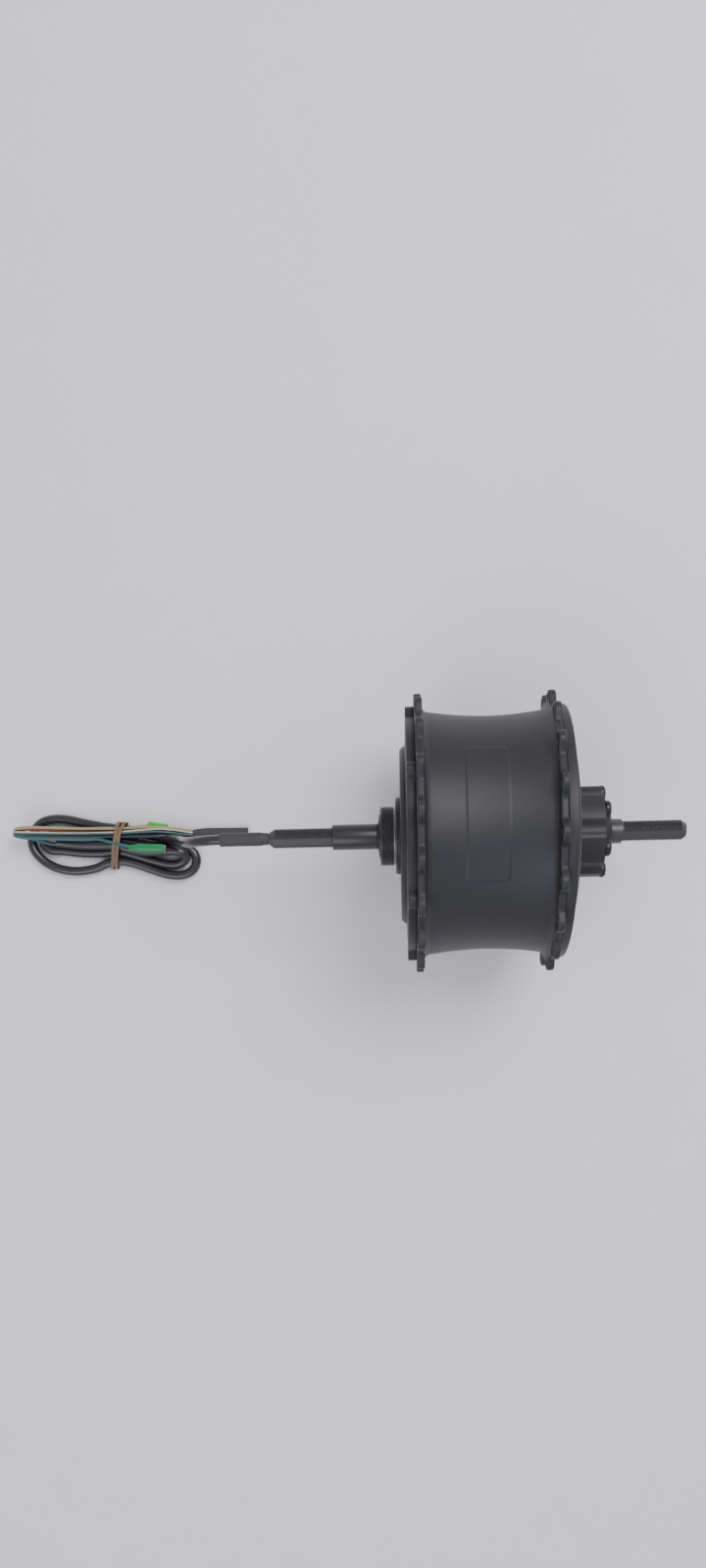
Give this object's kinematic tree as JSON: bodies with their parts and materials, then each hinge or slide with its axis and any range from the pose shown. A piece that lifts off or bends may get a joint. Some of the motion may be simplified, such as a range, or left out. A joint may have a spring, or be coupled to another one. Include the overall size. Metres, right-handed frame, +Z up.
{
  "type": "geared hub motor",
  "caption": "Geared rear hub motor with scalloped spoke flanges, freewheel thread, disc brake mount, threaded hollow axle and a folded motor cable.",
  "frame": {"origin": "on the axle's axis, midway between the two dropout faces, which is also the middle of the motor's box", "axes": "+Y along the axle towards the brake side, +X forward, +Z up"},
  "size_m": [0.163, 0.4262, 0.163],
  "materials": {
    "axle_steel": "black oxide steel",
    "black_alloy": "satin black anodised cast aluminium",
    "boss_steel": "black oxide steel, turned",
    "bolt_steel": "black zinc steel",
    "bearing_steel": "ground bearing steel",
    "bare_alloy": "machined aluminium",
    "core_steel": "stacked silicon steel sheets",
    "copper": "enamelled copper wire",
    "ivory_plastic": "glass filled nylon",
    "board_green": "coated circuit board",
    "black_plastic": "moulded black resin",
    "cable_black": "black cable jacket, semi matt",
    "lead_yellow": "coloured wire insulation",
    "gear_nylon": "natural nylon",
    "magnet": "nickel plated magnet",
    "bronze": "sintered bronze",
    "sleeve_black": "heat shrink tube, matt",
    "tube_green": "clear green insulating tube",
    "terminal_metal": "tinned brass terminal",
    "band_brown": "brown rubber band",
    "seal_rubber": "nitrile rubber"
  },
  "bodies": {
    "axle_set": {"axle": "axle_steel", "stator_key": "axle_steel", "spacer_sleeve": "axle_steel", "drive_bearing_inner": "bearing_steel", "brake_bearing_inner": "bearing_steel", "rotor_bearing_inner": "bearing_steel", "stator_spider": "bare_alloy", "stator_core": "core_steel", "stator_coils": "copper", "coil_end_frames": "ivory_plastic", "hall_board": "board_green", "hall_sensors": "black_plastic", "board_screws": "bolt_steel", "inner_cable": "cable_black", "phase_leads": "lead_yellow", "clutch_inner_race": "bearing_steel", "axle_circlips": "axle_steel", "motor_cable": "cable_black", "cable_sleeve": "sleeve_black", "wire_bundle": "lead_yellow", "terminal_sleeve": "sleeve_black", "phase_tube_upper": "tube_green", "phase_tube_lower": "tube_green", "phase_terminal": "terminal_metal", "rubber_band": "band_brown"},
    "hub": {"hub_shell": "black_alloy", "left_spoke_flange": "black_alloy", "right_spoke_flange": "black_alloy", "drive_side_cover": "black_alloy", "freewheel_boss": "boss_steel", "brake_side_cover": "black_alloy", "ring_gear": "gear_nylon", "drive_cover_screws": "bolt_steel", "brake_cover_screws": "bolt_steel", "rotor_bolts": "bolt_steel", "drive_bearing_outer": "bearing_steel", "brake_bearing_outer": "bearing_steel", "drive_bearing_balls": "bearing_steel", "brake_bearing_balls": "bearing_steel", "drive_side_seal": "seal_rubber", "brake_side_seal": "seal_rubber"},
    "rotor": {"rotor_can": "bare_alloy", "rotor_magnets": "magnet", "sun_gear": "axle_steel", "sun_gear_screws": "bolt_steel", "rotor_bearing_outer": "bearing_steel", "rotor_bearing_balls": "bearing_steel"},
    "carrier": {"planet_carrier": "bare_alloy", "planet_pins": "bearing_steel", "clutch_outer_race": "bearing_steel", "clutch_rollers": "bearing_steel", "clutch_springs": "bearing_steel"},
    "planet_1": {"planet_gear_1": "gear_nylon", "planet_bush_1": "bronze"},
    "planet_2": {"planet_gear_2": "gear_nylon", "planet_bush_2": "bronze"},
    "planet_3": {"planet_gear_3": "gear_nylon", "planet_bush_3": "bronze"}
  },
  "joints": [
    {"name": "clutch_overrun", "type": "hinge", "parent": "axle_set", "child": "carrier", "pos_m": [0, 0, 0], "axis": [0, 1, 0], "continuous": true},
    {"name": "hub_spin", "type": "hinge", "parent": "carrier", "child": "hub", "pos_m": [0, 0, 0], "axis": [0, 1, 0], "continuous": true},
    {"name": "rotor_spin", "type": "hinge", "parent": "carrier", "child": "rotor", "pos_m": [0, 0, 0], "axis": [0, 1, 0], "continuous": true},
    {"name": "planet_spin_1", "type": "hinge", "parent": "carrier", "child": "planet_1", "pos_m": [0, 0.02, -0.03375], "axis": [0, 1, 0], "continuous": true},
    {"name": "planet_spin_2", "type": "hinge", "parent": "carrier", "child": "planet_2", "pos_m": [-0.02923, 0.02, 0.01688], "axis": [0, 1, 0], "continuous": true},
    {"name": "planet_spin_3", "type": "hinge", "parent": "carrier", "child": "planet_3", "pos_m": [0.02923, 0.02, 0.01688], "axis": [0, 1, 0], "continuous": true}
  ],
  "couplings": [
    {"joint": "rotor_spin", "follows": "hub_spin", "ratio": -5},
    {"joint": "planet_spin_1", "follows": "hub_spin", "ratio": 2.5},
    {"joint": "planet_spin_2", "follows": "hub_spin", "ratio": 2.5},
    {"joint": "planet_spin_3", "follows": "hub_spin", "ratio": 2.5}
  ]
}
